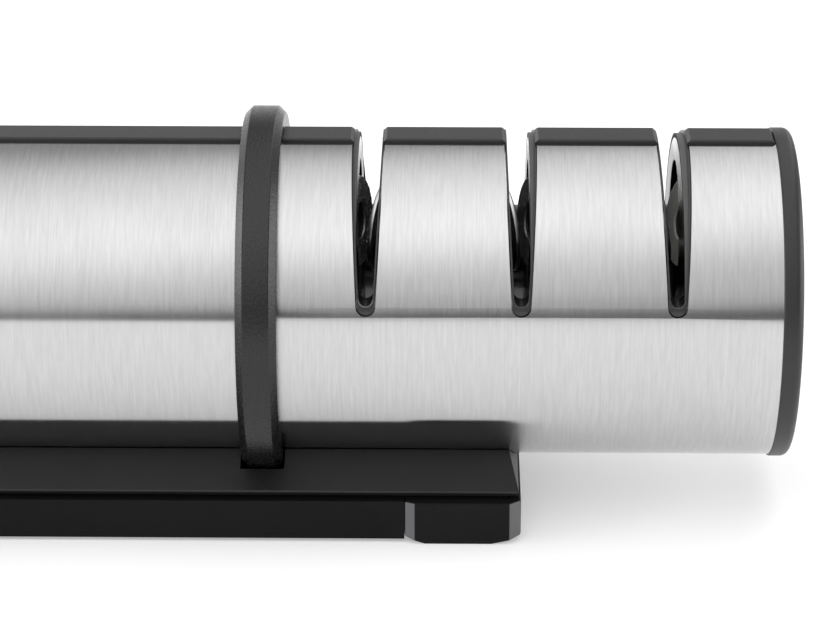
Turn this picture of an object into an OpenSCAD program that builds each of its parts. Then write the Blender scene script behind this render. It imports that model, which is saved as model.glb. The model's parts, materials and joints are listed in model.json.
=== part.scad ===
// Pull through knife sharpener: a round steel tube on a black stand.
// The tube runs along X with the sharpening head at +X. The knife is drawn along Y.
// The origin is on the ground under the middle of the whole object.

/* [Tube] */
// Outer radius of the two rolled steel sleeves
tube_r = 24.8; // [24:0.1:25]
// Thickness of the rolled sheet
sheet_t = 0.6; // [0.5:0.05:0.8]
// Length of the sleeve on the head, which has the knife slots
head_len = 73.5; // [72:0.5:84]
// Length of the sleeve on the handle
handle_len = 118; // [100:1:150]

/* [Top rail] */
// Width of the black rail in the open seam of the sleeves
rail_w = 6; // [5:0.1:8]
// Height of the rail above the crown of the steel
rail_rise = 0.45; // [0.3:0.05:0.9]

/* [Collar] */
// How far the ring between handle and head stands out from the steel
collar_rise = 3.3; // [2.8:0.1:6]
// Width of the ring
collar_w = 6.0; // [5:0.1:8]
// Chamfer of the ring along the tube
collar_chamfer_x = 1.1; // [0.6:0.1:1.6]
// Chamfer of the ring across the tube
collar_chamfer_r = 1.05; // [0.6:0.05:1.4]

/* [End caps] */
// How far both end caps stand out from the steel
cap_rise = 0.25; // [0.1:0.05:2.5]
// Thickness of the part of a cap that shows
cap_t = 3; // [2.4:0.1:5]
// Rounding of the cap's outer rim
cap_rim = 1.2; // [0.6:0.1:2]
// Depth of a cap's or the ring's spigot inside a sleeve
spigot_len = 4; // [3:0.2:5]

/* [Knife slots] */
// Distance from the ring to the first slot in the steel
slot_first = 12.85; // [12:0.05:14]
// Distance between the slots in the steel
slot_pitch = 22.65; // [21.8:0.05:23.4]
// Width of a slot where it leaves the crown of the steel
slot_top_w = 4.9; // [4.6:0.1:5.6]
// Width of a slot at its round bottom
slot_bottom_w = 2.9; // [2.6:0.1:3.2]
// Depth of the slot's bottom below the crown of the steel
slot_depth = 19.75; // [19:0.05:20.2]

/* [Sharpening stages] */
// Free way for the blade between the guide discs of the first stage
first_gap = 3.5; // [3.3:0.1:3.7]
// Free way for the blade between the guide discs of the second stage
second_gap = 3.3; // [3.1:0.1:3.5]
// Free way for the blade between the guide discs of the third stage
third_gap = 3.0; // [2.9:0.1:3.3]
// Thickness of a guide disc
disc_t = 1.0; // [0.8:0.05:1.2]

/* [Wheels] */
// Radius of a sharpening wheel
wheel_r = 6.8; // [6.4:0.1:7]
// Thickness of a wheel without its hub
wheel_t = 0.8; // [0.7:0.05:1]
// Depth of the wheels' centres below the crown of the steel
wheel_down = 13.95; // [13.6:0.05:14.3]
// Distance of each wheel's centre in front of or behind the tube's axis
wheel_out = 1.1; // [0.8:0.1:1.5]
// Degrees that a stage's wheels are turned out of the blade's way, seen from above
wheel_turn = 14.4; // [13:0.2:16]
// Radius of the pin that a wheel turns on
pin_r = 1.5; // [1.2:0.05:1.7]

/* [Stand] */
// Length of the stand
base_len = 151; // [130:1:152]
// How far the stand reaches under the head
base_under_head = 35.5; // [30:0.1:40]
// Depth of the tray's skirt, front to back
base_depth = 44.6; // [43.6:0.2:48]
// Height of the skirt
skirt_h = 6.15; // [5.6:0.05:8]
// Height of the shadow line between skirt and deck
shadow_gap = 1.5; // [1:0.05:2]
// Height of the deck's lower edge above the lowest line of the steel
deck_rise = 1; // [0.4:0.1:1.6]
// Length of a rubber shoe
shoe_len = 17.4; // [14:0.1:22]
// How far a shoe stands proud of the skirt
shoe_proud = 0.7; // [0.4:0.05:1]
// How far a shoe reaches below the tray
shoe_drop = 0.55; // [0.4:0.05:1]

/* [Hidden] */

// Curves are true arcs, so this only smooths the preview
$fn = 96;

// Clearances and the overrun of every cut
fit_gap = 0.05;
seat_gap = 0.1;
run_gap = 0.05;
side_gap = 0.3;
over = 1;

// Outer radii of ring and end caps
collar_r = tube_r + collar_rise;
cap_r = tube_r + cap_rise;

// Places along the tube
total_len = 2 * cap_t + handle_len + collar_w + head_len;
x_left = -total_len / 2;
x_handle = x_left + cap_t;
x_collar = x_handle + handle_len;
x_head = x_collar + collar_w;
x_right = x_head + head_len;

// Heights, where those of slots and wheels are above the tube's axis
deck_drop = tube_r - deck_rise;
skirt_top = shoe_drop + skirt_h;
axis_z = skirt_top + shadow_gap + deck_drop;
slot_floor = tube_r - slot_depth;
wheel_up = tube_r - wheel_down;

// Inside of the sleeves
bore_r = tube_r - sheet_t;
core_r = bore_r - fit_gap;
block_rim = 0.7;
spigot_wall = 2.6;
core_wall = 2.2;
rail_top = tube_r + rail_rise;
rail_end = 0.5;
rail_edge = 0.2;

// Stages: side -1 is the wheel on the handle's side of a slot and +1 the other
stages = [0, 1, 2];
stage_gaps = [first_gap, second_gap, third_gap];
// Place of the disc beside a stage's front wheel, out from the slot's middle
front_disc_out = 2;
// Lean of a stage's two wheels from the upright
wheel_leans = [4, 5, 8];
// Distance of a wheel's nearest edge from the stage's middle
edge_outs = [-0.25, -0.15, 0.15];
// Which of a stage's wheels is behind the axis: its left one (-1) or its right one (+1)
rear_sides = [-1, 1, 1];

hub_r = 3.8;
hub_t = 1.3;
pin_head_r = 2.5;
pin_head_t = 0.5;
pin_sink = 0.2;
pin_seat = 3.2;
wheel_rim = 0.15;
rod_r = 1.6;
rod_in = 4.75;
rod_out = core_r - rod_in;
rod_bite = 2.6;

// Windows of the guide discs, and the trough below them
window_shift = 2.8;
window_low = 1.85;
window_wall = 3.4;
window_recess = 1.4;
window_up = wheel_up - window_low;
window_r = core_r - block_rim - window_wall - norm([window_shift, window_up]);
trough_wall = 2.65;
trough_web = 1.9;
trough_r = (core_r - trough_wall + window_up - window_r - trough_web) / 2;
trough_drop = core_r - trough_wall - trough_r;

// Bezels lie in the thickness of the sheet
bezel_top_r = tube_r - 0.4 * sheet_t;
bezel_low_r = core_r + fit_gap;
bezel_gap = 0.15;
bezel_lip = 0.4;
bezel_sill = 1.35;
bezel_deep = 3.2;

// Stand
base_right = x_head + base_under_head;
base_left = base_right - base_len;
deck_edge_in = 0.5;
deck_lip = 0.3;
deck_neck_in = 2.1;
deck_end_bevel = 1.4;
ridge_half = 14.5;
cradle_gap = 0.1;
ring_gap = 0.35;
tray_wall = 2;
tray_floor = 2;
shoe_wall = 1.5;
boss_r = 3.4;
base_screw_r = 1.5;
base_screw_head_r = 2.8;
base_screw_head_t = 1.3;
base_screw_bite = 3.2;
base_screw_out = 14;
base_screw_handle_share = 0.28;
base_screw_head_share = 0.15;
saddle_screw_r = 1.8;
saddle_screw_head_r = 3.4;
saddle_screw_head_t = 2;
saddle_screw_shares = [0.22, 0.6];
saddle_boss_r = 4;
saddle_boss_h = 5;

// Corners and chamfers of a shoe
shoe_front_chamfer = 1.5;
shoe_end_chamfer = 1.7;
shoe_end_chamfer_in = 1.4;
shoe_toe_len = 3;
shoe_heel_len = 4.4;
shoe_toe_up = 0.95;

function slot_x(i) = x_head + slot_first + i * slot_pitch;
function rear_way(i, side) = side * rear_sides[i];
function face_out(i) = edge_outs[i] + wheel_r * sin(wheel_turn);
// The disc beside the rear wheel lies under a rim of its block, and the other one reaches the sleeve
function disc_out(i, side) = rear_way(i, side) > 0 ? stage_gaps[i] - front_disc_out : front_disc_out;
function disc_r(i, side) = rear_way(i, side) > 0 ? core_r - block_rim : core_r - seat_gap;
function disc_seat_r(i, side) = rear_way(i, side) > 0 ? disc_r(i, side) + fit_gap : core_r + fit_gap;
function slot_arc_z() = slot_floor + slot_bottom_w / 2;
function bezel_arc_z(sill) = slot_floor + sill + slot_bottom_w / 2 - bezel_lip;

// A round bar along X at the tube's axis, or away from it by y and z
module x_bar(r, x0, x1, y = 0, z = 0) {
    translate([x0, y, axis_z + z])
        rotate([0, 90, 0])
            cylinder(r = r, h = x1 - x0);
}

// Turned parts: the outline gives the radius along X and the length along Y
module turned_along_x(x0, toward = 1) {
    translate([x0, 0, axis_z])
        rotate([0, 90 * toward, 0])
            rotate_extrude()
                children();
}

// A prism along Y from an outline drawn in X and Z, with Z from the tube's axis
module across(half_depth) {
    translate([0, half_depth, axis_z])
        rotate([90, 0, 0])
            linear_extrude(2 * half_depth)
                children();
}

// Outline of the slot in the steel, made narrower by inset
module slot_outline(i, inset = 0) {
    bottom = slot_bottom_w / 2 - inset;
    top = slot_top_w / 2 - inset;
    widen = (top - bottom) * over / (tube_r - slot_arc_z());
    translate([slot_x(i), 0]) {
        translate([0, slot_arc_z()])
            circle(bottom);
        polygon([
            [-bottom, slot_arc_z()],
            [-top - widen, tube_r + over],
            [top + widen, tube_r + over],
            [bottom, slot_arc_z()]
        ]);
    }
}

// Outline of the free way inside a bezel: round at its foot, above a sill of the given height
module bezel_way(i, sill) {
    foot = slot_bottom_w / 2 - bezel_lip;
    top = slot_top_w / 2 - bezel_lip;
    translate([slot_x(i), 0]) {
        translate([0, bezel_arc_z(sill)])
            circle(foot);
        polygon([
            [-foot, bezel_arc_z(sill)], [-top, tube_r], [-top, tube_r + over],
            [top, tube_r + over], [top, tube_r], [foot, bezel_arc_z(sill)]
        ]);
    }
}

module all_slots(inset = 0) {
    for (i = stages)
        across(tube_r + over)
            slot_outline(i, inset);
}

// Rolled sheet with an open seam at its crown
module sleeve(x0, x1) {
    difference() {
        x_bar(tube_r, x0, x1);
        x_bar(bore_r, x0 - over, x1 + over);
        translate([x0 - over, -rail_w / 2 - fit_gap, axis_z])
            cube([x1 - x0 + 2 * over, rail_w + 2 * fit_gap, tube_r + over]);
    }
}

// Rail with broken edges, which fills the seam between x0 and x1
module rail(x0, x1, start_bevel = 0, end_bevel = 0) {
    foot = bore_r + fit_gap;
    difference() {
        intersection() {
            translate([0, rail_w / 2, axis_z])
                rotate([90, 0, 0])
                    linear_extrude(rail_w)
                        polygon([
                            [x0, 0], [x0, rail_top - start_bevel], [x0 + start_bevel, rail_top],
                            [x1 - end_bevel, rail_top], [x1, rail_top - end_bevel], [x1, 0]
                        ]);
            translate([x0, 0, axis_z])
                rotate([90, 0, 90])
                    linear_extrude(x1 - x0)
                        polygon([
                            [-rail_w / 2, 0], [-rail_w / 2, rail_top - rail_edge],
                            [-rail_w / 2 + rail_edge, rail_top], [rail_w / 2 - rail_edge, rail_top],
                            [rail_w / 2, rail_top - rail_edge], [rail_w / 2, 0]
                        ]);
        }
        x_bar(foot, x0 - over, x1 + over);
    }
}

// Web that joins a rail to the core below it
module rail_web(x0, x1) {
    translate([x0, -rail_w / 2 + rail_edge, axis_z + core_r - core_wall / 2])
        cube([x1 - x0, rail_w - 2 * rail_edge, core_wall / 2 + 2 * fit_gap + rail_edge]);
}

module handle_sleeve() {
    color("silver")
        difference() {
            sleeve(x_handle, x_collar);
            saddle_holes(saddle_screw_r + side_gap);
        }
}

module head_sleeve() {
    color("silver")
        difference() {
            sleeve(x_head, x_right);
            all_slots();
        }
}

// Ring between the sleeves, with a spigot into each
module collar_ring() {
    color("dimgray")
        turned_along_x(x_collar)
            difference() {
                union() {
                    polygon([
                        [0, 0], [collar_r - collar_chamfer_r, 0], [collar_r, collar_chamfer_x],
                        [collar_r, collar_w - collar_chamfer_x],
                        [collar_r - collar_chamfer_r, collar_w], [0, collar_w]
                    ]);
                    translate([0, -spigot_len])
                        square([core_r, collar_w + 2 * spigot_len]);
                }
                translate([0, -spigot_len - over])
                    square([core_r - spigot_wall, spigot_len + over]);
                translate([0, collar_w])
                    square([core_r - spigot_wall, spigot_len + over]);
                square([core_r / 2, 2 * collar_w], center = true);
            }
}

// Outline of an end cap with its rounded rim and the spigot behind it
module cap_outline() {
    square([cap_r - cap_rim, cap_t]);
    square([cap_r, cap_t - cap_rim]);
    translate([cap_r - cap_rim, cap_t - cap_rim])
        intersection() {
            circle(cap_rim);
            square(cap_rim);
        }
    translate([core_r - spigot_wall, -spigot_len])
        square([spigot_wall, spigot_len]);
}

module head_cap() {
    color("dimgray")
        difference() {
            turned_along_x(x_right)
                cap_outline();
            rod_holes(x_right - over, x_right + rod_bite - spigot_wall / 2);
        }
}

module handle_cap() {
    color("dimgray")
        turned_along_x(x_handle, -1)
            cap_outline();
}

// Long inner tube of the handle, with the rail and the bosses for the saddle screws
module handle_core() {
    inner_r = core_r - core_wall;
    x0 = x_handle + spigot_len + side_gap;
    x1 = x_collar - spigot_len - side_gap;
    color("dimgray")
        difference() {
            union() {
                difference() {
                    x_bar(core_r, x0, x1);
                    x_bar(inner_r, x0 - over, x1 + over);
                }
                rail(x_handle + fit_gap, x_collar - fit_gap, rail_end, 0);
                rail_web(x0, x1);
                intersection() {
                    x_bar(inner_r + core_wall / 2, x0, x1);
                    for (share = saddle_screw_shares)
                        translate([saddle_x(share), 0, axis_z - core_r])
                            cylinder(r = saddle_boss_r, h = core_wall + saddle_boss_h);
                }
            }
            saddle_holes(saddle_screw_r + fit_gap);
        }
}

// Block k of the head's core lies between slot k - 1 and slot k
module core_block(k) {
    first = k == 0;
    last = k == len(stages);
    x0 = first ? x_head + spigot_len + side_gap : slot_x(k - 1) + disc_out(k - 1, 1);
    x1 = last ? x_right - spigot_len - side_gap : slot_x(k) - disc_out(k, -1);
    rail_x0 = first ? x_head + fit_gap : slot_x(k - 1) + slot_top_w / 2;
    rail_x1 = last ? x_right - fit_gap : slot_x(k) - slot_top_w / 2;
    color("dimgray")
        difference() {
            union() {
                x_bar(core_r, x0, x1);
                difference() {
                    union() {
                        rail(rail_x0, rail_x1, first ? 0 : rail_end, rail_end);
                        rail_web(x0, x1);
                    }
                    all_slots();
                }
            }
            x_bar(trough_r, x0 - over, x1 + over, 0, -trough_drop);
            rod_holes(x0 - over, x1 + over);
            if (!first) {
                x_bar(disc_seat_r(k - 1, 1), x0 - over, x0 + disc_t + fit_gap);
                wheel_pocket(k - 1, 1);
            }
            if (!last) {
                x_bar(disc_seat_r(k, -1), x1 - disc_t - fit_gap, x1 + over);
                wheel_pocket(k, -1);
            }
        }
}

// Local frame of a wheel: z runs out of the slot along the pin, and 0 is the working face
module at_wheel(i, side) {
    translate([slot_x(i) + side * face_out(i), rear_way(i, side) * wheel_out, axis_z + wheel_up])
        rotate([0, side * (90 + wheel_leans[i]), rear_sides[i] * wheel_turn])
            children();
}

// Window in a guide disc, and as a recess in the block behind it
module window(i, side, depth) {
    face = slot_x(i) + side * disc_out(i, side);
    far = face + side * depth;
    near = face - side * over;
    x_bar(window_r, min(near, far), max(near, far), rear_way(i, side) * window_shift, window_up);
}

// Room for a wheel and the seat of its pin, sunk into a block
module wheel_pocket(i, side) {
    window(i, side, disc_t + window_recess);
    at_wheel(i, side) {
        translate([0, 0, -wheel_r])
            cylinder(r = wheel_r + 2 * side_gap, h = wheel_r + wheel_t + hub_t + side_gap);
        cylinder(r = pin_r + fit_gap, h = wheel_t + hub_t + side_gap + pin_seat + fit_gap);
    }
}

// Thin disc that guides the blade, with a window that lets its wheel reach the slot
module guide_disc(i, side) {
    x0 = slot_x(i) + side * (disc_out(i, side) + disc_t / 2) - disc_t / 2;
    color("gainsboro")
        difference() {
            x_bar(disc_r(i, side), x0, x0 + disc_t);
            window(i, side, disc_t + over);
            x_bar(trough_r, x0 - over, x0 + disc_t + over, 0, -trough_drop);
            rod_holes(x0 - over, x0 + disc_t + over);
        }
}

// Lip round a slot: two arcs over the tube, joined below the slot in front and behind
module slot_bezel(i) {
    x0 = slot_x(i) - slot_top_w;
    x1 = slot_x(i) + slot_top_w;
    color("dimgray")
        difference() {
            union() {
                intersection() {
                    difference() {
                        x_bar(bezel_top_r, x0, x1);
                        x_bar(bezel_low_r, x0 - over, x1 + over);
                    }
                    across(tube_r)
                        slot_outline(i, bezel_gap);
                }
                intersection() {
                    difference() {
                        x_bar(bezel_low_r + fit_gap, x0, x1);
                        x_bar(bezel_low_r - bezel_deep, x0 - over, x1 + over);
                    }
                    across(tube_r)
                        slot_outline(i, bezel_gap);
                    translate([slot_x(i) - disc_out(i, -1) + seat_gap, -tube_r, axis_z])
                        cube([stage_gaps[i] - 2 * seat_gap, 2 * tube_r, bezel_arc_z(bezel_sill)]);
                }
            }
            across(tube_r)
                bezel_way(i, bezel_sill);
            translate([0, tube_r, 0])
                across(tube_r)
                    bezel_way(i, bezel_lip);
        }
}

// Abrasive wheel with a broken rim, a hub behind and a sunk seat for the pin's head
module wheel(i, side, shade) {
    sink = pin_sink + pin_head_t + run_gap;
    color(shade)
        at_wheel(i, side)
            rotate_extrude()
                difference() {
                    union() {
                        polygon([
                            [0, 0], [wheel_r - wheel_rim, 0], [wheel_r, wheel_rim],
                            [wheel_r, wheel_t - wheel_rim], [wheel_r - wheel_rim, wheel_t],
                            [0, wheel_t]
                        ]);
                        square([hub_r, wheel_t + hub_t]);
                    }
                    square([pin_head_r + side_gap, sink]);
                    square([pin_r + run_gap, wheel_t + hub_t + over]);
                }
}

// Both pins of a stage, each with a flat head sunk below the working face
module wheel_pins(i) {
    color("lightsteelblue")
        for (side = [-1, 1])
            at_wheel(i, side)
                translate([0, 0, pin_sink]) {
                    cylinder(r = pin_head_r, h = pin_head_t);
                    cylinder(r = pin_r, h = wheel_t + hub_t + side_gap + pin_seat - pin_sink);
                }
}

module rod_holes(x0, x1) {
    for (y = [-rod_out, rod_out])
        x_bar(rod_r + fit_gap, x0, x1, y);
}

// Two rods that hold ring, blocks, discs and end cap together
module tie_rods() {
    color("lightsteelblue")
        for (y = [-rod_out, rod_out])
            x_bar(rod_r, x_head + fit_gap, x_right + rod_bite - spigot_wall / 2 - fit_gap, y);
}

function saddle_x(share) = base_left + share * (x_collar - base_left);
base_screw_x = [
    base_left + base_screw_handle_share * (x_collar - base_left),
    x_head + base_screw_head_share * base_under_head
];

module saddle_holes(r) {
    for (share = saddle_screw_shares)
        translate([saddle_x(share), 0, 0])
            cylinder(r = r, h = axis_z);
}

// Upper shell of the stand: sloped shoulders, a cradle for the tube and a groove for the ring
module base_deck() {
    edge = base_depth / 2 - deck_edge_in;
    neck = edge - deck_neck_in + deck_edge_in;
    edge_z = -deck_drop;
    foot_z = skirt_top - axis_z;
    ridge_z = -sqrt(pow(tube_r + cradle_gap, 2) - pow(ridge_half, 2));
    color("dimgray")
        difference() {
            intersection() {
                translate([base_left, 0, axis_z])
                    rotate([90, 0, 90])
                        linear_extrude(base_len)
                            polygon([
                                [-neck, foot_z], [-neck, edge_z - deck_lip], [-edge, edge_z - deck_lip],
                                [-edge, edge_z], [-ridge_half, ridge_z], [ridge_half, ridge_z],
                                [edge, edge_z], [edge, edge_z - deck_lip], [neck, edge_z - deck_lip],
                                [neck, foot_z]
                            ]);
                across(base_depth)
                    polygon([
                        [base_left, foot_z], [base_left, edge_z],
                        [base_left + deck_end_bevel, ridge_z],
                        [base_right - deck_end_bevel, ridge_z],
                        [base_right, edge_z], [base_right, foot_z]
                    ]);
            }
            x_bar(tube_r + cradle_gap, base_left - over, base_right + over);
            x_bar(collar_r + ring_gap, x_collar - side_gap, x_head + side_gap);
            saddle_holes(saddle_screw_r + fit_gap);
            base_screw_places()
                cylinder(r = base_screw_r + fit_gap, h = skirt_top + base_screw_bite + fit_gap);
        }
}

module base_screw_places() {
    for (x = base_screw_x, y = [-base_screw_out, base_screw_out])
        translate([x, y, 0])
            children();
}

// The tray's own block, stepped back by inset all round where a shoe fits over it
module tray_block(x0, x1, inset) {
    translate([x0, -base_depth / 2 + inset, shoe_drop + inset])
        cube([x1 - x0, base_depth - 2 * inset, skirt_h - inset]);
}

module base_tray() {
    cut = shoe_wall + fit_gap;
    step = shoe_len - shoe_proud / 2 + fit_gap;
    color("dimgray")
        difference() {
            union() {
                difference() {
                    union() {
                        tray_block(base_left + step, base_right - step, 0);
                        tray_block(base_left + cut, base_right - cut, cut);
                    }
                    translate([base_left + cut + tray_wall, -base_depth / 2 + cut + tray_wall,
                               shoe_drop + cut + tray_floor / 2])
                        cube([base_len - 2 * (cut + tray_wall),
                              base_depth - 2 * (cut + tray_wall), skirt_h]);
                }
                base_screw_places()
                    translate([0, 0, shoe_drop + tray_floor / 2])
                        cylinder(r = boss_r, h = skirt_h - tray_floor / 2);
            }
            base_screw_places() {
                cylinder(r = base_screw_r + fit_gap, h = skirt_top + over);
                cylinder(r = base_screw_head_r + side_gap, h = shoe_drop + base_screw_head_t + side_gap);
            }
        }
}

// Rubber shoe over one end of the tray, drawn for the head's end and mirrored for the other
module shoe() {
    out = base_depth / 2 + shoe_proud;
    toe = -shoe_len;
    difference() {
        intersection() {
            linear_extrude(skirt_top)
                polygon([
                    [toe, -base_depth / 2], [toe + shoe_front_chamfer, -out],
                    [-shoe_end_chamfer, -out], [0, -out + shoe_end_chamfer_in],
                    [0, out - shoe_end_chamfer_in], [-shoe_end_chamfer, out],
                    [toe + shoe_front_chamfer, out], [toe, base_depth / 2]
                ]);
            translate([0, out + over, 0])
                rotate([90, 0, 0])
                    linear_extrude(2 * (out + over))
                        polygon([
                            [toe, shoe_toe_up], [toe + shoe_toe_len, 0], [-shoe_heel_len, 0],
                            [0, shoe_toe_up], [0, skirt_top], [toe, skirt_top]
                        ]);
        }
        translate([toe - over, -base_depth / 2 + shoe_wall, shoe_drop + shoe_wall])
            cube([shoe_len + over - shoe_wall - shoe_proud / 2, base_depth - 2 * shoe_wall, skirt_h]);
    }
}

module shoe_head_end() {
    color("darkslategray")
        translate([base_right + shoe_proud / 2, 0, 0])
            shoe();
}

module shoe_handle_end() {
    color("darkslategray")
        translate([base_left - shoe_proud / 2, 0, 0])
            mirror([1, 0, 0])
                shoe();
}

// Screws from below that close the tray against the deck
module base_screws() {
    color("lightsteelblue")
        base_screw_places()
            translate([0, 0, shoe_drop + side_gap]) {
                cylinder(r = base_screw_head_r, h = base_screw_head_t);
                cylinder(r = base_screw_r, h = skirt_h + base_screw_bite - side_gap);
            }
}

// Screws inside the stand that hold the tube in its cradle
module saddle_screws() {
    head_z = skirt_top - saddle_screw_head_t - fit_gap;
    tip_z = axis_z - core_r + core_wall + saddle_boss_h - side_gap;
    color("lightsteelblue")
        for (share = saddle_screw_shares)
            translate([saddle_x(share), 0, head_z]) {
                cylinder(r = saddle_screw_head_r, h = saddle_screw_head_t);
                cylinder(r = saddle_screw_r, h = tip_z - head_z);
            }
}

handle_sleeve();
head_sleeve();
collar_ring();
head_cap();
handle_cap();
handle_core();
core_block(0);  // core_block_1
core_block(1);  // core_block_2
core_block(2);  // core_block_3
core_block(3);  // core_block_4
guide_disc(0, -1);  // guide_disc_1_left
guide_disc(0, 1);  // guide_disc_1_right
guide_disc(1, -1);  // guide_disc_2_left
guide_disc(1, 1);  // guide_disc_2_right
guide_disc(2, -1);  // guide_disc_3_left
guide_disc(2, 1);  // guide_disc_3_right
slot_bezel(0);  // slot_bezel_1
slot_bezel(1);  // slot_bezel_2
slot_bezel(2);  // slot_bezel_3
wheel(0, -1, "gray");  // wheel_1_left
wheel(0, 1, "gray");  // wheel_1_right
wheel(1, -1, "darkgray");  // wheel_2_left
wheel(1, 1, "darkgray");  // wheel_2_right
wheel(2, -1, "whitesmoke");  // wheel_3_left
wheel(2, 1, "whitesmoke");  // wheel_3_right
wheel_pins(0);  // wheel_pins_1
wheel_pins(1);  // wheel_pins_2
wheel_pins(2);  // wheel_pins_3
tie_rods();
base_deck();
base_tray();
shoe_head_end();
shoe_handle_end();
base_screws();
saddle_screws();
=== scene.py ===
import bmesh
import bpy
import json
import math
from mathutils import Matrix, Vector


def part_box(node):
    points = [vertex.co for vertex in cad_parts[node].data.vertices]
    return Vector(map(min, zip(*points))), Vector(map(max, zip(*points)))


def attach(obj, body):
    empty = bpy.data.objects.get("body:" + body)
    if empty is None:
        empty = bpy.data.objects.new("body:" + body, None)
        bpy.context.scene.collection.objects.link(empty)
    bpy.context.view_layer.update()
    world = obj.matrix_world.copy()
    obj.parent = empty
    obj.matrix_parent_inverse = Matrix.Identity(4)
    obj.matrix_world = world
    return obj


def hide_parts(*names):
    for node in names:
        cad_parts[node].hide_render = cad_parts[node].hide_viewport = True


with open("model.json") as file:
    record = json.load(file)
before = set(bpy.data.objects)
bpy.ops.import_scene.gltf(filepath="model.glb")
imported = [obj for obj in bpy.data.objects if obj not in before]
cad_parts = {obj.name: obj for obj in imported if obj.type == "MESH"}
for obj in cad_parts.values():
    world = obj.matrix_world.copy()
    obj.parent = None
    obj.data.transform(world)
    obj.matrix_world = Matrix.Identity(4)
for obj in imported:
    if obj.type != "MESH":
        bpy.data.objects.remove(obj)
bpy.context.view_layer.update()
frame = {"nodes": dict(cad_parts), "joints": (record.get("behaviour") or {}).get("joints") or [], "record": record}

# Sizes are in metres, as the frame is, and MM turns millimetres into them
MM = 0.001
# Points of a frame mesh that lie this near each other are one point
SAME_POINT = 0.001 * MM
# Faces of a frame mesh that turn by less than this many degrees are one face
FLAT_DEGREES = 0.4
# Depth of the scratches and the satin grain of the metals, and of the grit's bed
METAL_DEPTH = 0.01 * MM
GRIT_DEPTH = 0.02 * MM

# The tube, measured from the frame
HEAD_LOW, HEAD_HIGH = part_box("head_sleeve")
TUBE_RADIUS = (HEAD_HIGH.y - HEAD_LOW.y) / 2
AXIS_Z = HEAD_LOW.z + TUBE_RADIUS

# The photograph: its size, the pixel where the camera looks squarely at the tube's axis, and the
# focal length of its lens, all in pixels
PHOTO_WIDTH = 840
PHOTO_HEIGHT = 630
SQUARE_COLUMN = 456
AXIS_ROW = 289.9
FOCAL_PIXELS = 3066
# Width of the camera's sensor in millimetres, as the camera's settings take it
SENSOR_WIDTH = 36
CAMERA_ELEVATION = math.radians(21)
CAMERA_DISTANCE = 469 * MM
# The camera stands square to the tube at this distance right of the head sleeve's left edge
CAMERA_RIGHT_OF_HEAD = 26 * MM

# What the record says of nodes, bodies and joints
NODE_SLOTS = {part["node"]: part["material_slot"] for part in frame["record"]["subparts"]}
BODIES = frame["record"]["behaviour"]["bodies"]
NODE_BODIES = {node: body for body, nodes in BODIES.items() for node in nodes}
WHEEL_JOINTS = {joint["child"]: joint for joint in frame["joints"]}


# Colours

def linear(hex_text):
    """A colour of the sRGB hex kind as the linear values that shaders take."""
    parts = [int(hex_text[k:k + 2], 16) / 255 for k in (1, 3, 5)]
    return [*(p / 12.92 if p <= 0.04045 else ((p + 0.055) / 1.055) ** 2.4 for p in parts), 1.0]


# Nodes of shaders and of geometry

def add(tree, kind, links=None, **settings):
    """A node with its settings. A name in links is an input, and its value a socket or a number."""
    node = tree.nodes.new(kind)
    for key, value in settings.items():
        setattr(node, key, value)
    for key, value in (links or {}).items():
        if isinstance(value, bpy.types.NodeSocket):
            tree.links.new(value, node.inputs[key])
        else:
            node.inputs[key].default_value = value
    return node


def set_ramp(node, stops):
    """Gives a colour ramp its greys: pairs of a place from 0 to 1 and a brightness."""
    points = node.color_ramp.elements
    while len(points) < len(stops):
        points.new(0.5)
    for point, (place, level) in zip(points, stops):
        point.position = place
        point.color = (level, level, level, 1)


def new_material(name, links):
    """A material with one shader. links is a function that gives the shader's inputs."""
    material = bpy.data.materials.new(name)
    material.use_nodes = True
    tree = material.node_tree
    tree.nodes.clear()
    place = add(tree, "ShaderNodeTexCoord").outputs["Object"]
    shader = add(tree, "ShaderNodeBsdfPrincipled", links(tree, place))
    add(tree, "ShaderNodeOutputMaterial", {"Surface": shader.outputs["BSDF"]})
    return material


# Metals

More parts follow.
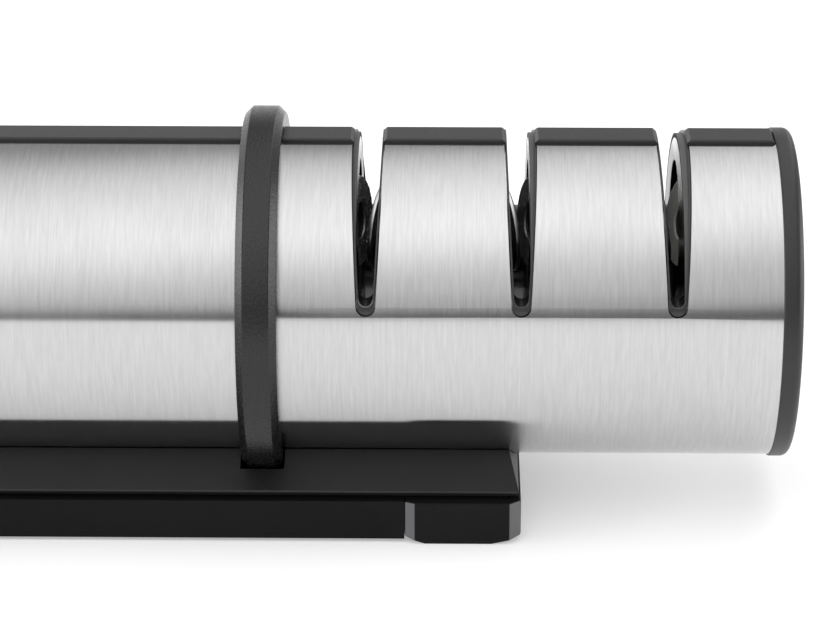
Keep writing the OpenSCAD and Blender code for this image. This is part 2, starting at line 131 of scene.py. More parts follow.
def brushed_stainless(name, hex_text, roughness, streak_depth):
    """Stainless sheet, ground with a belt while it turned, so fine scratches run round the tube.
    They blur reflections along the tube and leave them sharp across it."""
    scratch_mm = 0.16
    scratch_len_mm = 14
    # Real grinding marks are finer than a pixel, so the streaks are as wide as they need to show
    streak_mm = 0.45
    streak_len_mm = 5
    haze_mm = 20

    def links(tree, place):
        scratch_place = add(tree, "ShaderNodeMapping", {
            "Vector": place,
            "Scale": (1 / (scratch_mm * MM), *(1 / (scratch_len_mm * MM),) * 2),
        })
        scratches = add(tree, "ShaderNodeTexNoise", {
            "Vector": scratch_place.outputs["Vector"],
            "Scale": 1.0, "Detail": 2.0, "Roughness": 0.6,
        })
        streak_place = add(tree, "ShaderNodeMapping", {
            "Vector": place,
            "Scale": (1 / (streak_mm * MM), *(1 / (streak_len_mm * MM),) * 2),
        })
        streaks = add(tree, "ShaderNodeTexNoise", {
            "Vector": streak_place.outputs["Vector"],
            "Scale": 1.0, "Detail": 3.0, "Roughness": 0.7,
        })
        haze = add(tree, "ShaderNodeTexNoise", {
            "Vector": place, "Scale": 1 / (haze_mm * MM), "Detail": 2.0,
        })
        marks = add(tree, "ShaderNodeMix", {
            "A": scratches.outputs["Fac"], "B": streaks.outputs["Fac"], "Factor": 0.6,
        })
        tone = add(tree, "ShaderNodeMapRange", {
            "Value": marks.outputs["Result"], "From Min": 0.35, "From Max": 0.65,
            "To Min": 1 - streak_depth, "To Max": 1 + streak_depth,
        })
        tint = add(tree, "ShaderNodeMix", {
            "A": linear(hex_text), "B": tone.outputs["Result"], "Factor": 1.0,
        }, data_type="RGBA", blend_type="MULTIPLY")
        gloss = add(tree, "ShaderNodeMapRange", {
            "Value": haze.outputs["Fac"], "From Min": 0.3, "From Max": 0.7,
            "To Min": roughness - 0.02, "To Max": roughness + 0.02,
        })
        bump = add(tree, "ShaderNodeBump", {
            "Height": scratches.outputs["Fac"], "Strength": 0.1, "Distance": METAL_DEPTH,
        })
        along = add(tree, "ShaderNodeCombineXYZ", {"X": 1.0})
        return {
            "Base Color": tint.outputs["Result"], "Metallic": 1.0,
            "Roughness": gloss.outputs["Result"], "Anisotropic": 0.95,
            "Tangent": along.outputs["Vector"], "Normal": bump.outputs["Normal"],
        }

    return new_material(name, links)


def satin_steel(name, hex_text, roughness, grain_mm):
    """Blanked, turned or ground steel with an even satin face: a soft gloss, the same all ways."""

    def links(tree, place):
        grain = add(tree, "ShaderNodeTexNoise", {
            "Vector": place, "Scale": 1 / (grain_mm * MM), "Detail": 3.0, "Roughness": 0.65,
        })
        tone = add(tree, "ShaderNodeMapRange", {
            "Value": grain.outputs["Fac"], "From Min": 0.35, "From Max": 0.65,
            "To Min": 0.93, "To Max": 1.05,
        })
        tint = add(tree, "ShaderNodeMix", {
            "A": linear(hex_text), "B": tone.outputs["Result"], "Factor": 1.0,
        }, data_type="RGBA", blend_type="MULTIPLY")
        bump = add(tree, "ShaderNodeBump", {
            "Height": grain.outputs["Fac"], "Strength": 0.1, "Distance": METAL_DEPTH,
        })
        return {
            "Base Color": tint.outputs["Result"], "Metallic": 1.0, "Roughness": roughness,
            "Normal": bump.outputs["Normal"],
        }

    return new_material(name, links)


def slot_shaded_steel(name, hex_text, roughness, grain_mm):
    """Satin blanked steel with painted shade that grows darker further down a slot, where the shade in a slot
    falls.
    """
    # Height above the tube's axis in millimetres, and the share of its brightness that the painted shade leaves
    slot_shade = [(0, 0.01), (8, 0.02), (14, 0.05), (18, 0.12), (19.2, 0.3), (20.2, 0.7), (21.5, 1), (25, 1)]
    slot_shade_top_mm = slot_shade[-1][0]

    def links(tree, place):
        grain = add(tree, "ShaderNodeTexNoise", {
            "Vector": place, "Scale": 1 / (grain_mm * MM), "Detail": 3.0, "Roughness": 0.65,
        })
        parts = add(tree, "ShaderNodeSeparateXYZ", {"Vector": place})
        height = add(tree, "ShaderNodeMapRange", {
            "Value": parts.outputs["Z"],
            "From Min": AXIS_Z, "From Max": AXIS_Z + slot_shade_top_mm * MM,
        })
        painted_shade = add(tree, "ShaderNodeValToRGB", {"Fac": height.outputs["Result"]})
        set_ramp(painted_shade, [(mm / slot_shade_top_mm, share) for mm, share in slot_shade])
        tint = add(tree, "ShaderNodeMix", {
            "A": linear(hex_text), "B": painted_shade.outputs["Color"], "Factor": 1.0,
        }, data_type="RGBA", blend_type="MULTIPLY")
        bump = add(tree, "ShaderNodeBump", {
            "Height": grain.outputs["Fac"], "Strength": 0.1, "Distance": METAL_DEPTH,
        })
        return {
            "Base Color": tint.outputs["Result"], "Metallic": 1.0, "Roughness": roughness,
            "Normal": bump.outputs["Normal"],
        }

    return new_material(name, links)


# Plastics and rubber

def moulded_plastic(name, hex_text, roughness, specular, grain_mm, grain_depth_mm):
    """Black ABS from a spark-eroded mould: a fine even grain that softens its gloss."""
    cloud_mm = 9

    def links(tree, place):
        grain = add(tree, "ShaderNodeTexNoise", {
            "Vector": place, "Scale": 1 / (grain_mm * MM), "Detail": 3.0, "Roughness": 0.65,
        })
        cloud = add(tree, "ShaderNodeTexNoise", {
            "Vector": place, "Scale": 1 / (cloud_mm * MM), "Detail": 4.0, "Roughness": 0.55,
        })
        tone = add(tree, "ShaderNodeMapRange", {
            "Value": cloud.outputs["Fac"], "From Min": 0.3, "From Max": 0.7,
            "To Min": 0.9, "To Max": 1.12,
        })
        tint = add(tree, "ShaderNodeMix", {
            "A": linear(hex_text), "B": tone.outputs["Result"], "Factor": 1.0,
        }, data_type="RGBA", blend_type="MULTIPLY")
        gloss = add(tree, "ShaderNodeMapRange", {
            "Value": grain.outputs["Fac"], "From Min": 0.3, "From Max": 0.7,
            "To Min": roughness - 0.06, "To Max": roughness + 0.06,
        })
        bump = add(tree, "ShaderNodeBump", {
            "Height": grain.outputs["Fac"], "Strength": 0.6, "Distance": grain_depth_mm * MM,
        })
        return {
            "Base Color": tint.outputs["Result"], "Roughness": gloss.outputs["Result"],
            "IOR": 1.53, "Specular IOR Level": specular, "Normal": bump.outputs["Normal"],
        }

    return new_material(name, links)


# Sharpening wheels

def grit_bed(name, dark_hex, light_hex, roughness, metallic, grit_mm):
    """Plating that holds diamond grains, or sintered grains: specks of two tones, a rough skin."""

    def links(tree, place):
        specks = add(tree, "ShaderNodeTexVoronoi", {
            "Vector": place, "Scale": 1 / (grit_mm * MM),
        })
        tone = add(tree, "ShaderNodeMix", {
            "A": linear(dark_hex), "B": linear(light_hex), "Factor": specks.outputs["Distance"],
        }, data_type="RGBA")
        bump = add(tree, "ShaderNodeBump", {
            "Height": specks.outputs["Distance"], "Strength": 0.4, "Distance": GRIT_DEPTH,
        })
        return {
            "Base Color": tone.outputs["Result"], "Roughness": roughness,
            "Metallic": metallic, "Normal": bump.outputs["Normal"],
        }

    return new_material(name, links)


# The tube: bands of light that blur along it, under fine streaks
STEEL = brushed_stainless("brushed stainless sheet", "#C3C3C3", 0.19, 0.07)
# The guide discs: bright at the tip, and darker lower down the slot with painted shade
GUIDE = slot_shaded_steel("satin blanked stainless", "#EDEDEB", 0.24, 0.2)
# Pins, rods and screws: a dull grey gleam
TURNED = satin_steel("turned zinc plated steel", "#B9BABC", 0.32, 0.15)
# The wheels' rims: pale lines of bare steel
RIM = satin_steel("ground steel rim", "#E4E4E2", 0.35, 0.12)
# The ring: a coarse grain that breaks up its highlights
COLLAR = moulded_plastic("coarse grained black ABS", "#0C0C0C", 0.26, 0.45, 0.4, 0.08)
# The bezels: a soft dark gloss, and a pale painted highlight on the lip's edge that faces up and forward
BEZEL = moulded_plastic("smooth black ABS", "#262627", 0.32, 0.5, 0.3, 0.02)
LIP_HIGHLIGHT = moulded_plastic("black ABS with painted lip highlight", "#A8A8A8", 0.4, 0.5, 0.3, 0.02)
# Caps and rail: an even dark grey sheen
PLASTIC = moulded_plastic("grained black ABS", "#1B1B1C", 0.42, 0.5, 0.3, 0.03)
# Core and blocks: black with painted shade inside, and a grey painted light on the faces near the outside
CORE = moulded_plastic("black ABS in painted shade", "#0B0B0B", 0.6, 0.2, 0.4, 0.015)
CORE_RIM = moulded_plastic("black ABS with painted light", "#4C4C4D", 0.5, 0.5, 0.3, 0.05)
# The deck: a faint sheen, and a pale painted highlight on the slanting edge at its end
DECK = moulded_plastic("grained black ABS of the deck", "#1A1A1B", 0.45, 0.4, 0.3, 0.04)
DECK_END_HIGHLIGHT = moulded_plastic("black ABS with painted end highlight", "#8A8A8D", 0.45, 0.5, 0.3, 0.03)
# The tray: almost no sheen
TRAY = moulded_plastic("matte black ABS", "#131314", 0.6, 0.1, 0.3, 0.02)
# The shoes: almost no sheen, and a grey painted highlight on their slanting facets
RUBBER = moulded_plastic("black soft rubber", "#131314", 0.6, 0.12, 0.3, 0.03)
RUBBER_FACET_HIGHLIGHT = moulded_plastic("black rubber with painted facet highlight", "#5C5C5E", 0.6, 0.4, 0.3, 0.03)
# The wheels' faces: grey specks that glint, and a pale even one of ceramic
COARSE = grit_bed("coarse diamond plating", "#727273", "#B8B9BA", 0.38, 0.8, 0.3)
FINE = grit_bed("fine diamond plating", "#727274", "#BCBDBF", 0.36, 0.8, 0.22)
CERAMIC = grit_bed("sintered white ceramic", "#DAD9D5", "#F0EFEA", 0.28, 0.0, 0.15)

SLOT_MATERIALS = {
    "brushed_steel": STEEL, "guide_steel": GUIDE, "turned_steel": TURNED,
    "black_plastic": PLASTIC, "core_plastic": CORE, "rubber": RUBBER,
    "diamond_coarse": COARSE, "diamond_fine": FINE, "ceramic": CERAMIC,
}
# Pieces whose plastic looks unlike the rest of their slot
OWN_MATERIALS = {
    "base_deck": DECK, "base_tray": TRAY,
    "slot_bezel_1": BEZEL, "slot_bezel_2": BEZEL, "slot_bezel_3": BEZEL,
}


def material_of(node):
    """The node's own material, or else that of its slot."""
    return OWN_MATERIALS.get(node, SLOT_MATERIALS[NODE_SLOTS[node]])


# Pieces

def plain_mesh(piece):
    """Puts the result of the piece's modifiers in its mesh and removes them."""
    view = bpy.context.evaluated_depsgraph_get()
    result = bpy.data.meshes.new_from_object(piece.evaluated_get(view))
    piece.modifiers.clear()
    old = piece.data
    piece.data = result
    bpy.data.meshes.remove(old)


def shade(piece, sharp_degrees=35):
    """Smooth shading led by the wide faces, and broken where faces meet at a sharper angle."""
    piece.data.shade_smooth()
    piece.data.set_sharp_from_angle(angle=math.radians(sharp_degrees))
    lead = piece.modifiers.new("wide faces lead", "WEIGHTED_NORMAL")
    lead.keep_sharp = True
    plain_mesh(piece)


def round_edges(piece, edge_mm, sharp_degrees=28):
    """Rounds every edge where faces meet at a sharper angle."""
    bevel = piece.modifiers.new("edges", "BEVEL")
    bevel.width = edge_mm * MM
    bevel.segments = 2
    bevel.limit_method = "ANGLE"
    bevel.angle_limit = math.radians(sharp_degrees)
    bevel.use_clamp_overlap = True
    plain_mesh(piece)


def stands_for(piece, node):
    """The piece moves with the node's body and takes the node's place."""
    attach(piece, NODE_BODIES[node])
    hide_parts(node)


def rounded_copy(node, edge_mm):
    """The node's form as a new piece with rounded edges and its material."""
    mesh = frame["nodes"][node].data.copy()
    form = bmesh.new()
    form.from_mesh(mesh)
    bmesh.ops.remove_doubles(form, verts=form.verts, dist=SAME_POINT)
    flat = math.radians(FLAT_DEGREES)
    bmesh.ops.dissolve_limit(form, angle_limit=flat, verts=form.verts, edges=form.edges)
    form.to_mesh(mesh)
    form.free()
    piece = bpy.data.objects.new(node + "_finished", mesh)
    bpy.context.scene.collection.objects.link(piece)
    round_edges(piece, edge_mm)
    shade(piece)
    piece.data.materials.clear()
    piece.data.materials.append(material_of(node))
    return piece


# Width in millimetres of the rounded edge that each piece has
EDGE_WIDTHS = {
    "handle_sleeve": 0.08, "head_sleeve": 0.22, "head_cap": 0.3, "handle_cap": 0.3,
    "handle_core": 0.12, "core_block_1": 0.12, "core_block_2": 0.12, "core_block_3": 0.12,
    "core_block_4": 0.12, "slot_bezel_1": 0.15, "slot_bezel_2": 0.15, "slot_bezel_3": 0.15,
    "guide_disc_1_left": 0.1, "guide_disc_1_right": 0.1, "guide_disc_2_left": 0.1,
    "guide_disc_2_right": 0.1, "guide_disc_3_left": 0.1, "guide_disc_3_right": 0.1,
    "base_deck": 0.2, "base_tray": 0.35, "shoe_head_end": 0.3, "shoe_handle_end": 0.3,
}
RING_EDGE_MM = 0.12
WHEEL_EDGE_MM = 0.06


def make_rounded_pieces():
    """A rounded piece for each node in the list, with painted highlights, painted light and shade on some, and
    stretched rails on the blocks.
    """
    for node, width in EDGE_WIDTHS.items():
        piece = rounded_copy(node, width)
        if "bezel" in node:
            paint_lip_highlight(piece)
        if "block" in node:
            meet_bezels(piece)
        if "core" in node:
            paint_core_light_and_shade(piece)
        if "deck" in node:
            paint_end_highlight(piece)
        if "shoe" in node:
            paint_facet_highlights(piece)
        stands_for(piece, node)


# The rail lies above this height, and a block's rail reaches the lips of the bezels beside it
RAIL_FOOT = AXIS_Z + TUBE_RADIUS - 0.5 * MM
RAIL_REACH = 0.25 * MM
RAIL_END = 0.8 * MM


def meet_bezels(piece):
    """Stretches a block's rail at the ends that face a slot."""
    rail = [point for point in piece.data.vertices if point.co.z > RAIL_FOOT]
    left = min(point.co.x for point in rail)
    right = max(point.co.x for point in rail)
    for point in rail:
        if point.co.x < left + RAIL_END and left > HEAD_LOW.x + RAIL_END:
            point.co.x -= RAIL_REACH
        if point.co.x > right - RAIL_END and right < HEAD_HIGH.x - RAIL_END:
            point.co.x += RAIL_REACH


# Faces of the core this near the tube's outside get the grey painted light
PAINTED_LIGHT_DEPTH = 0.9 * MM


def paint_core_light_and_shade(piece):
    """Painted light turns the core's round outside grey, painted shade keeps its inside black, and its rail is
    grained.
    """
    piece.data.materials.append(CORE_RIM)
    piece.data.materials.append(PLASTIC)
    for face in piece.data.polygons:
        reach = math.hypot(face.center.y, face.center.z - AXIS_Z)
        if reach > TUBE_RADIUS - PAINTED_LIGHT_DEPTH:
            face.material_index = 1
        if face.center.z > RAIL_FOOT:
            face.material_index = 2


def paint_end_highlight(piece):
    """The slanting edge at the deck's end gets a pale painted highlight."""
    piece.data.materials.append(DECK_END_HIGHLIGHT)
    for face in piece.data.polygons:
        if face.normal.x > 0.4 and face.normal.z > 0.4:
            face.material_index = 1


def paint_facet_highlights(piece):
    """The slanting facets at both ends of a shoe's front and back get a pale painted highlight."""
    piece.data.materials.append(RUBBER_FACET_HIGHLIGHT)
    for face in piece.data.polygons:
        if abs(face.normal.x) > 0.25 and abs(face.normal.y) > 0.4:
            face.material_index = 1


# A bezel's painted highlight runs on the lip round its foot, up to this height
LIP_HIGHLIGHT_TOP = AXIS_Z + 7.4 * MM


def paint_lip_highlight(piece):
    """The rounded edge of the lip that faces up and to the front gets a pale painted highlight."""
    piece.data.materials.append(LIP_HIGHLIGHT)
    for face in piece.data.polygons:
        rounded = 0.2 < abs(face.normal.y) < 0.95 and face.normal.z > 0.15
        if rounded and face.center.z < LIP_HIGHLIGHT_TOP and face.center.y < 0:
            face.material_index = 1


def dress_kept_nodes():
    """Pins, rods and the screws inside keep their form and get their material."""
    for node in ("wheel_pins_1", "wheel_pins_2", "wheel_pins_3", "tie_rods", "saddle_screws"):
        piece = frame["nodes"][node]
        piece.data.materials.clear()
        piece.data.materials.append(material_of(node))
        piece.material_slots[0].link = "OBJECT"
        piece.material_slots[0].material = material_of(node)


# Trees of geometry nodes

def new_tree(name, numbers, vectors=(), takes_mesh=False):
    """An empty tree with a named input for each size. Returns the tree and its inputs."""
    tree = bpy.data.node_groups.new(name, "GeometryNodeTree")
    if takes_mesh:
        tree.interface.new_socket("Mesh", in_out="INPUT", socket_type="NodeSocketGeometry")
    for size in numbers:
        tree.interface.new_socket(size, in_out="INPUT", socket_type="NodeSocketFloat")
    for size in vectors:
        tree.interface.new_socket(size, in_out="INPUT", socket_type="NodeSocketVector")
    tree.interface.new_socket("Mesh", in_out="OUTPUT", socket_type="NodeSocketGeometry")
    return tree, add(tree, "NodeGroupInput").outputs


def end_tree(tree, geometry, material):
    """Ends a tree with real faces in their material."""
    real = add(tree, "GeometryNodeRealizeInstances", {"Geometry": geometry})
    dressed = add(tree, "GeometryNodeSetMaterial", {
        "Geometry": real.outputs["Geometry"], "Material": material,
    })
    add(tree, "NodeGroupOutput", {"Mesh": dressed.outputs["Geometry"]})
    return tree


def grow(piece, tree, sizes):
    """Runs a tree on the piece with these sizes and leaves the result as its plain mesh."""
    step = piece.modifiers.new("form", "NODES")
    step.node_group = tree
    for socket in tree.interface.items_tree:
        if socket.in_out == "INPUT" and socket.name in sizes:
            step[socket.identifier] = sizes[socket.name]
    plain_mesh(piece)


def empty_piece(name):
    """A piece with no faces yet, for a tree to fill."""
    piece = bpy.data.objects.new(name, bpy.data.meshes.new(name))
    bpy.context.scene.collection.objects.link(piece)
    return piece


# The ring between the sleeves

def band_tree():
    """A band round the tube: a rectangle with cut corners, swept round a circle."""
    tree, size = new_tree("band round the tube", (
        "Middle Radius", "Thickness", "Width", "Chamfer", "Along", "Up",
    ))
    circle = add(tree, "GeometryNodeCurvePrimitiveCircle", {
        "Resolution": RING_STEPS, "Radius": size["Middle Radius"],
    })
    section = add(tree, "GeometryNodeCurvePrimitiveQuadrilateral", {
        "Width": size["Thickness"], "Height": size["Width"],
    })
    cut = add(tree, "GeometryNodeFilletCurve", {
        "Curve": section.outputs["Curve"], "Radius": size["Chamfer"], "Count": 1,
    }, mode="POLY")
    swept = add(tree, "GeometryNodeCurveToMesh", {
        "Curve": circle.outputs["Curve"], "Profile Curve": cut.outputs["Curve"],
    })
    centre = add(tree, "ShaderNodeCombineXYZ", {"X": size["Along"], "Z": size["Up"]})
    laid = add(tree, "GeometryNodeTransform", {
        "Geometry": swept.outputs["Mesh"], "Translation": centre.outputs["Vector"],
        "Rotation": (0, math.pi / 2, 0),
    })
    return end_tree(tree, laid.outputs["Geometry"], COLLAR)


# Walls of the ring and of the spigot that both sleeves sit on, their corners, and the steps round
RING_STEPS = 192
RING_WALL = 6.5 * MM
RING_CHAMFER = 1.08 * MM
SPIGOT_WALL = 2.6 * MM
SPIGOT_IN = 0.65 * MM
SPIGOT_CHAMFER = 0.3 * MM


def make_ring():
    """The ring that parts the sleeves, and the spigot that both of them sit on."""
    tree = band_tree()
    low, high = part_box("collar_ring")
    radius = (high.y - low.y) / 2
    sleeve_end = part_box("handle_sleeve")[1].x
    middle = {"Along": (low.x + high.x) / 2, "Up": AXIS_Z}
    ring = empty_piece("ring_between_sleeves")
    grow(ring, tree, {
        "Middle Radius": radius - RING_WALL / 2, "Thickness": RING_WALL,
        "Width": HEAD_LOW.x - sleeve_end, "Chamfer": RING_CHAMFER, **middle,
    })
    spigot = empty_piece("spigot_inside_sleeves")
    spigot_radius = TUBE_RADIUS - SPIGOT_IN
    grow(spigot, tree, {
        "Middle Radius": spigot_radius - SPIGOT_WALL / 2, "Thickness": SPIGOT_WALL,
        "Width": high.x - low.x, "Chamfer": SPIGOT_CHAMFER, **middle,
    })
    round_edges(ring, RING_EDGE_MM)
    join(ring, spigot)
    shade(ring)
    stands_for(ring, "collar_ring")


def join(piece, other):
    """Adds the other piece's faces and material to the piece."""
    form = bmesh.new()
    form.from_mesh(piece.data)
    own_faces = len(form.faces)
    form.from_mesh(other.data)
    form.faces.ensure_lookup_table()
    for face in form.faces[own_faces:]:
        face.material_index = len(piece.data.materials)
    form.to_mesh(piece.data)
    form.free()
    piece.data.materials.append(other.data.materials[0])
    bpy.data.objects.remove(other)


# Wheels

def grain_tree(material):
    """Grains that stand out of a wheel's faces, but not round its pin or behind the wheel."""
    tree, size = new_tree(
        "grains on a wheel", ("Grain", "Grains per Area", "Bare Radius"),
        ("Pin Direction", "Wheel Centre"), takes_mesh=True,
    )
    normal = add(tree, "GeometryNodeInputNormal")
    facing = add(tree, "ShaderNodeVectorMath", {
        0: normal.outputs["Normal"], 1: size["Pin Direction"],
    }, operation="DOT_PRODUCT")
    position = add(tree, "GeometryNodeInputPosition")
    reach = add(tree, "ShaderNodeVectorMath", {
        0: position.outputs["Position"], 1: size["Wheel Centre"],
    }, operation="DISTANCE")
    front = add(tree, "FunctionNodeCompare", {
        "A": facing.outputs["Value"], "B": -0.5,
    }, operation="LESS_THAN")
    coated = add(tree, "FunctionNodeCompare", {
        "A": reach.outputs["Value"], "B": size["Bare Radius"],
    }, operation="GREATER_THAN")
    both = add(tree, "FunctionNodeBooleanMath", {
        0: front.outputs["Result"], 1: coated.outputs["Result"],
    }, operation="AND")
    places = add(tree, "GeometryNodeDistributePointsOnFaces", {
        "Mesh": size["Mesh"], "Selection": both.outputs["Boolean"],
        "Density": size["Grains per Area"], "Seed": 5,
    })
    grain = add(tree, "GeometryNodeMeshIcoSphere", {"Radius": size["Grain"], "Subdivisions": 1})
    share = add(tree, "FunctionNodeRandomValue", {2: 0.55, 3: 1.0, "Seed": 3})
    grains = add(tree, "GeometryNodeInstanceOnPoints", {
        "Points": places.outputs["Points"], "Instance": grain.outputs["Mesh"],
        "Rotation": places.outputs["Rotation"], "Scale": share.outputs[1],
    })
    return end_tree(tree, grains.outputs["Instances"], material)


# Half of a grain's size in millimetres, how many sit on a square millimetre, and their coat
GRAINS = {
    "diamond_coarse": (0.1, 5, COARSE),
    "diamond_fine": (0.06, 8, FINE),
}
BARE_RADIUS = 3.2 * MM
RIM_RADIUS = 6.4 * MM


def make_wheels():
    """Wheels with a ground rim, and faces in their bed of grit."""
    for node, joint in WHEEL_JOINTS.items():
        wheel = rounded_copy(node, WHEEL_EDGE_MM)
        wheel.data.materials.append(RIM)
        pin = Vector(joint["axis"])
        centre = Vector(joint["pos_m"])
        for face in wheel.data.polygons:
            if abs(face.normal.dot(pin)) < 0.8 and (face.center - centre).length > RIM_RADIUS:
                face.material_index = 1
        if NODE_SLOTS[node] in GRAINS:
            add_grains(wheel, joint, *GRAINS[NODE_SLOTS[node]])
        stands_for(wheel, node)


def add_grains(wheel, joint, grain_mm, per_square_mm, material):
    """Strews grains on the wheel's working face and joins them to it."""
    grains = wheel.copy()
    grains.data = wheel.data.copy()
    bpy.context.scene.collection.objects.link(grains)
    grow(grains, grain_tree(material), {
        "Grain": grain_mm * MM, "Grains per Area": per_square_mm / MM ** 2,
        "Bare Radius": BARE_RADIUS,
        "Pin Direction": joint["axis"], "Wheel Centre": joint["pos_m"],
    })
    join(wheel, grains)


# Screws under the stand

def screw_tree():
    """Pan head screws with a cross recess, one at each corner of a rectangle."""
    tree, size = new_tree("screws under the stand", (
        "Head Radius", "Head Height", "Shank Radius", "Shank Length", "Recess Length",
        "Recess Width", "Recess Depth", "Apart Along", "Apart Across", "Along", "Up",
    ))
    head = add(tree, "GeometryNodeMeshCylinder", {
        "Vertices": SCREW_HEAD_SIDES, "Radius": size["Head Radius"], "Depth": size["Head Height"],
    })
    cut = head.outputs["Mesh"]
    for long_side, short_side in (("X", "Y"), ("Y", "X")):
        bar_size = add(tree, "ShaderNodeCombineXYZ", {
            long_side: size["Recess Length"], short_side: size["Recess Width"],
            "Z": size["Recess Depth"],
        })
        bar = add(tree, "GeometryNodeMeshCube", {"Size": bar_size.outputs["Vector"]})
        below = add(tree, "ShaderNodeMath", {
            0: size["Head Height"], 1: -0.5,
        }, operation="MULTIPLY")
        bar_place = add(tree, "ShaderNodeCombineXYZ", {"Z": below.outputs["Value"]})
        bar_below = add(tree, "GeometryNodeTransform", {
            "Geometry": bar.outputs["Mesh"], "Translation": bar_place.outputs["Vector"],
        })
        cut = add(tree, "GeometryNodeMeshBoolean", {
            "Mesh 1": cut, "Mesh 2": bar_below.outputs["Geometry"],
        }, operation="DIFFERENCE").outputs["Mesh"]
    shank = add(tree, "GeometryNodeMeshCylinder", {
        "Vertices": SCREW_SHANK_SIDES, "Radius": size["Shank Radius"], "Depth": size["Shank Length"],
    })
    half_shank = add(tree, "ShaderNodeMath", {
        0: size["Shank Length"], 1: 0.5,
    }, operation="MULTIPLY")
    shank_place = add(tree, "ShaderNodeCombineXYZ", {"Z": half_shank.outputs["Value"]})
    shank_above = add(tree, "GeometryNodeTransform", {
        "Geometry": shank.outputs["Mesh"], "Translation": shank_place.outputs["Vector"],
    })
    screw = add(tree, "GeometryNodeJoinGeometry")
    tree.links.new(cut, screw.inputs["Geometry"])
    tree.links.new(shank_above.outputs["Geometry"], screw.inputs["Geometry"])
    corners = add(tree, "GeometryNodeMeshGrid", {
        "Size X": size["Apart Along"], "Size Y": size["Apart Across"],
        "Vertices X": 2, "Vertices Y": 2,
    })
    placed = add(tree, "GeometryNodeInstanceOnPoints", {
        "Points": corners.outputs["Mesh"], "Instance": screw.outputs["Geometry"],
    })
    centre = add(tree, "ShaderNodeCombineXYZ", {"X": size["Along"], "Z": size["Up"]})
    laid = add(tree, "GeometryNodeTransform", {
        "Geometry": placed.outputs["Instances"], "Translation": centre.outputs["Vector"],
    })
    return end_tree(tree, laid.outputs["Geometry"], TURNED)


SCREW_HEAD_SIDES = 48
SCREW_SHANK_SIDES = 32
SCREW_HEAD_RADIUS = 2.8 * MM
SCREW_HEAD_HEIGHT = 1.3 * MM
SCREW_SHANK_RADIUS = 1.5 * MM
SCREW_RECESS_LENGTH = 3.2 * MM
SCREW_RECESS_WIDTH = 0.8 * MM
SCREW_RECESS_DEPTH = 1.6 * MM


def make_base_screws():
    """The screws in the stand's underside, as far apart as in the frame."""
    low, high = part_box("base_screws")
    screws = empty_piece("screws_under_stand")
    grow(screws, screw_tree(), {
        "Head Radius": SCREW_HEAD_RADIUS, "Head Height": SCREW_HEAD_HEIGHT,
        "Shank Radius": SCREW_SHANK_RADIUS,
        "Shank Length": high.z - low.z - SCREW_HEAD_HEIGHT / 2,
        "Recess Length": SCREW_RECESS_LENGTH, "Recess Width": SCREW_RECESS_WIDTH,
        "Recess Depth": SCREW_RECESS_DEPTH,
        "Apart Along": high.x - low.x - 2 * SCREW_HEAD_RADIUS,
        "Apart Across": high.y - low.y - 2 * SCREW_HEAD_RADIUS,
        "Along": (low.x + high.x) / 2, "Up": low.z + SCREW_HEAD_HEIGHT / 2,
    })
    shade(screws)
    stands_for(screws, "base_screws")


# Studio

# The floor, and the lamp over it, in metres and watts
FLOOR_REACH = 1.5
FLOOR_GLOW = 0.35
LAMP_LENGTH = 1.2
LAMP_DEPTH = 0.9
LAMP_WATTS = 1.5
LAMP_PLACE = Vector((0.1, -0.1, 0.9))
LAMP_AIM = Vector((0.02, 0, 0.03))


def make_floor():
    """A pale seamless floor that glows a little, so that it fades to white."""
    mesh = bpy.data.meshes.new("floor")
    corners = [(x * FLOOR_REACH, y * FLOOR_REACH, 0) for x, y in ((-1, -1), (1, -1), (1, 1), (-1, 1))]
    mesh.from_pydata(corners, [], [(0, 1, 2, 3)])
    floor = bpy.data.objects.new("floor", mesh)
    bpy.context.scene.collection.objects.link(floor)
    material = bpy.data.materials.new("pale floor")
    material.use_nodes = True
    shader = material.node_tree.nodes["Principled BSDF"]
    shader.inputs["Base Color"].default_value = linear("#E1E1E1")
    shader.inputs["Roughness"].default_value = 0.9
    shader.inputs["Emission Color"].default_value = (1, 1, 1, 1)
    shader.inputs["Emission Strength"].default_value = FLOOR_GLOW
    mesh.materials.append(material)


def make_light():
    """A broad soft lamp overhead for the floor's shadow. Glossy faces show the surround instead."""
    data = bpy.data.lights.new("overhead softbox", "AREA")
    data.shape = "RECTANGLE"
    data.size = LAMP_LENGTH
    data.size_y = LAMP_DEPTH
    data.energy = LAMP_WATTS
    lamp = bpy.data.objects.new("overhead softbox", data)
    lamp.location = LAMP_PLACE
    lamp.rotation_euler = (LAMP_AIM - LAMP_PLACE).to_track_quat("-Z", "Y").to_euler()
    lamp.visible_glossy = False
    bpy.context.scene.collection.objects.link(lamp)


# The studio as the object sees it: the angle in degrees from the near horizon, up over the object
# and down to the horizon behind it, and how bright it is there. It eases from each to the next.
STUDIO = [
    (3, 0.1),      # dark room in front, below the low panel
    (14, 0.68),    # low panel, lower edge
    (29, 0.68),    # low panel, upper edge
    (60, 1.58),    # overhead softbox, near edge
    (76, 1.5),     # overhead softbox, middle
    (113, 1.07),   # overhead softbox, far edge
    (151, 0.24),   # dark room behind
    (176, 0.75),   # pale backdrop
]
STUDIO_MOST = max(level for degrees, level in STUDIO)
# How far the panels lie askew: along the tube they shift by so much of the way across it
STUDIO_SKEW = 3
# They are brighter towards the handle: by this share at the end of the tube's line
STUDIO_LEAN = 0.35
STUDIO_GAIN = 1.15
# Strip lights beyond both ends of the tube: their brightness, and how far out they start and end
# their rise, as the share of a direction that lies along the tube
STRIP_LEVEL = 2.8
STRIP_START = 0.78
STRIP_FULL = 0.92


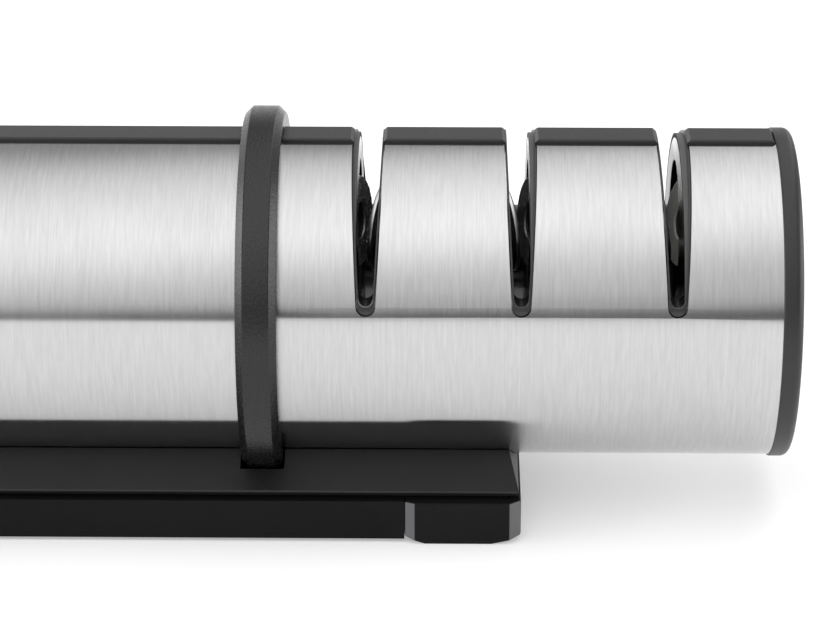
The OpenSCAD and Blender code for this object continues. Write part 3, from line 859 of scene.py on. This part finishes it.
def make_surround():
    """The studio of soft panels, brightest overhead a little to the front, with its side strips."""
    world = bpy.data.worlds.new("studio surround")
    world.use_nodes = True
    tree = world.node_tree
    tree.nodes.clear()
    way = add(tree, "ShaderNodeTexCoord")
    parts = add(tree, "ShaderNodeSeparateXYZ", {"Vector": way.outputs["Generated"]})
    near = add(tree, "ShaderNodeVectorMath", {
        0: way.outputs["Generated"], 1: (STUDIO_SKEW, -1, 0),
    }, operation="DOT_PRODUCT")
    angle = add(tree, "ShaderNodeMath", {
        0: parts.outputs["Z"], 1: near.outputs["Value"],
    }, operation="ARCTAN2")
    turn = add(tree, "ShaderNodeMath", {0: angle.outputs["Value"], 1: math.pi}, operation="DIVIDE")
    ramp = add(tree, "ShaderNodeValToRGB", {"Fac": turn.outputs["Value"]})
    ramp.color_ramp.interpolation = "EASE"
    set_ramp(ramp, [(degrees / 180, level / STUDIO_MOST) for degrees, level in STUDIO])
    sideways = add(tree, "ShaderNodeMath", {0: parts.outputs["X"]}, operation="ABSOLUTE")
    strip = add(tree, "ShaderNodeMapRange", {
        "Value": sideways.outputs["Value"], "From Min": STRIP_START, "From Max": STRIP_FULL,
        "To Min": 0.0, "To Max": STRIP_LEVEL / STUDIO_MOST,
    }, interpolation_type="SMOOTHSTEP")
    lean = add(tree, "ShaderNodeMath", {
        0: parts.outputs["X"], 1: -STUDIO_LEAN, 2: 1.0,
    }, operation="MULTIPLY_ADD")
    panels = add(tree, "ShaderNodeMix", {
        "A": ramp.outputs["Color"], "B": lean.outputs["Value"], "Factor": 1.0,
    }, data_type="RGBA", blend_type="MULTIPLY")
    both = add(tree, "ShaderNodeMix", {
        "A": panels.outputs["Result"], "B": strip.outputs["Result"], "Factor": 1.0,
    }, data_type="RGBA", blend_type="ADD")
    back = add(tree, "ShaderNodeBackground", {
        "Color": both.outputs["Result"], "Strength": STUDIO_MOST * STUDIO_GAIN,
    })
    add(tree, "ShaderNodeOutputWorld", {"Surface": back.outputs["Background"]})
    bpy.context.scene.world = world


def make_camera():
    """Camera at the photograph's place, aimed so that its frame is the photograph's."""
    data = bpy.data.cameras.new("camera")
    data.sensor_width = SENSOR_WIDTH
    data.lens = SENSOR_WIDTH * FOCAL_PIXELS / PHOTO_WIDTH
    data.clip_start = 0.01
    camera = bpy.data.objects.new("camera", data)
    target = Vector((HEAD_LOW.x + CAMERA_RIGHT_OF_HEAD, 0, AXIS_Z))
    ahead = Vector((0, math.cos(CAMERA_ELEVATION), -math.sin(CAMERA_ELEVATION)))
    upward = Vector((0, math.sin(CAMERA_ELEVATION), math.cos(CAMERA_ELEVATION)))
    camera.location = target - ahead * CAMERA_DISTANCE
    aim = (
        ahead
        + Vector((1, 0, 0)) * (PHOTO_WIDTH / 2 - SQUARE_COLUMN) / FOCAL_PIXELS
        + upward * (AXIS_ROW - PHOTO_HEIGHT / 2) / FOCAL_PIXELS
    )
    camera.rotation_euler = aim.to_track_quat("-Z", "Y").to_euler()
    bpy.context.scene.collection.objects.link(camera)
    bpy.context.scene.camera = camera


make_rounded_pieces()
make_ring()
make_wheels()
make_base_screws()
dress_kept_nodes()
make_floor()
make_surround()
make_light()
make_camera()
bpy.context.scene.view_settings.view_transform = "Standard"
